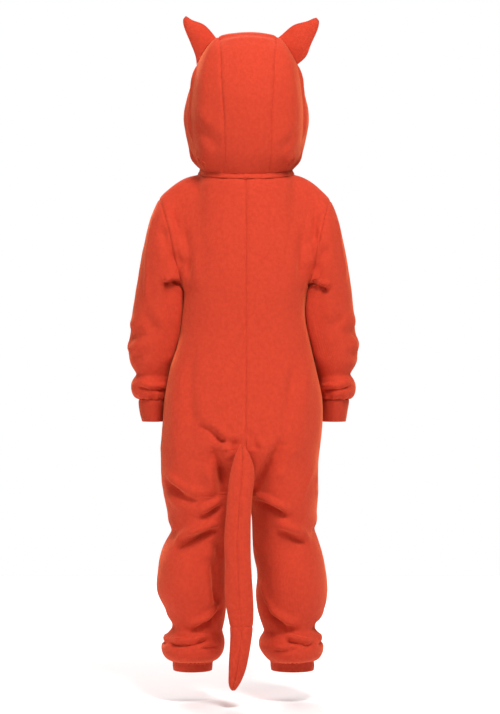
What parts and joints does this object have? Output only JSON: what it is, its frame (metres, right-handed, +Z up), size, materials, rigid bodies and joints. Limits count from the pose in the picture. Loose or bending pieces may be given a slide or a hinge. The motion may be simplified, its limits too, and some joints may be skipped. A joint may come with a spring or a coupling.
{
  "type": "fox onesie",
  "caption": "Child's hooded fleece onesie with pointed fox ears, a long tail, a front zip and gathered wrists and ankles, hanging as if worn.",
  "frame": {"origin": "middle of the neck opening at the height of the shoulders, where the wearer holds the garment up", "axes": "+Z up, the wearer faces -Y, +X is the wearer's left"},
  "size_m": [0.416, 0.238, 1.2009],
  "materials": {
    "fleece": "brushed orange-red fleece with a short soft nap",
    "pressed_fleece": "the same fleece, folded double and pressed",
    "zip_tape": "woven polyester tape",
    "zip_metal": "cast zinc, tumbled to a soft shine"
  },
  "bodies": {
    "garment": {"hood_centre": "fleece", "hood_left": "fleece", "hood_right": "fleece", "neck_band": "fleece", "back_left": "fleece", "back_right": "fleece", "front_left": "fleece", "front_right": "fleece", "sleeve_left": "fleece", "sleeve_right": "fleece", "cuff_left": "pressed_fleece", "cuff_right": "pressed_fleece", "ankle_left": "pressed_fleece", "ankle_right": "pressed_fleece", "ear_left_back": "fleece", "ear_left_front": "fleece", "ear_right_back": "fleece", "ear_right_front": "fleece", "tail_left": "fleece", "tail_right": "fleece", "tail_tip_left": "fleece", "tail_tip_right": "fleece", "zip_tape_left": "zip_tape", "zip_tape_right": "zip_tape", "zip_slider": "zip_metal"},
    "pull": {"zip_pull": "zip_metal"}
  },
  "joints": [
    {"name": "pull_swing", "type": "hinge", "parent": "garment", "child": "pull", "pos_m": [0, -0.07389, -0.04558], "axis": [-1, 0, 0], "range_deg": [0, 110]}
  ]
}
